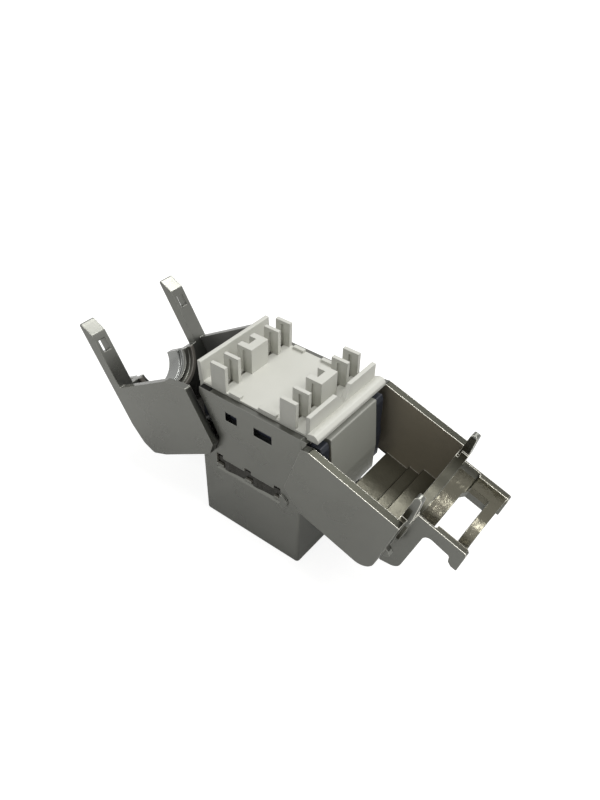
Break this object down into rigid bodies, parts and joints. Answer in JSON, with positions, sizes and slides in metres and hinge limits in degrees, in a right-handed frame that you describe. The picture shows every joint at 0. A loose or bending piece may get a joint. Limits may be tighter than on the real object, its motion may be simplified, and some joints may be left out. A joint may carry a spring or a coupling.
{
  "type": "keystone jack",
  "caption": "Shielded keystone jack with a die-cast shell, a white wire block and two hinged wings, one with a cable cradle and one with a tie trough, shown open.",
  "frame": {"origin": "middle of the nose on the plane of the port face, which the jack stands on", "axes": "+Z from the port face to the cable end, +X towards the tie wing, Y across the jack between its side plates"},
  "size_m": [0.0575, 0.017, 0.0255],
  "materials": {
    "plated_casting": "satin nickel plate on a zinc die casting",
    "white_moulding": "warm white moulded plastic, fine matt surface",
    "dark_moulding": "very dark blue-grey moulded plastic",
    "board": "green solder mask on glass-fibre board",
    "spring_strip": "thin stainless spring strip",
    "contact_plating": "gold plate on spring bronze",
    "blade_plating": "tin plate on spring bronze"
  },
  "bodies": {
    "shell": {"body_shell": "plated_casting", "wire_block": "white_moulding", "cover_panel": "white_moulding", "blade_carrier": "dark_moulding", "port_insert": "dark_moulding", "circuit_board": "board", "ground_spring_near": "spring_strip", "ground_spring_far": "spring_strip", "port_contact_1": "contact_plating", "port_contact_2": "contact_plating", "port_contact_3": "contact_plating", "port_contact_4": "contact_plating", "port_contact_5": "contact_plating", "port_contact_6": "contact_plating", "port_contact_7": "contact_plating", "port_contact_8": "contact_plating", "blade_1": "blade_plating", "blade_2": "blade_plating", "blade_3": "blade_plating", "blade_4": "blade_plating", "blade_5": "blade_plating", "blade_6": "blade_plating", "blade_7": "blade_plating", "blade_8": "blade_plating"},
    "tie_wing_body": {"tie_wing": "plated_casting"},
    "cradle_wing_body": {"cradle_wing": "plated_casting"},
    "latch_body": {"latch": "dark_moulding"}
  },
  "joints": [
    {"name": "tie_wing_hinge", "type": "hinge", "parent": "shell", "child": "tie_wing_body", "pos_m": [0.00834, 0, 0.0147], "axis": [0, -1, 0], "range_deg": [0, 107.75]},
    {"name": "cradle_wing_hinge", "type": "hinge", "parent": "shell", "child": "cradle_wing_body", "pos_m": [-0.007, 0, 0.0147], "axis": [0, 1, 0], "range_deg": [0, 121.04]},
    {"name": "latch_hinge", "type": "hinge", "parent": "shell", "child": "latch_body", "pos_m": [0.0088, 0, 0.00375], "axis": [0, -1, 0], "range_deg": [0, 6], "stiffness_Nm_per_rad": 0.02}
  ]
}
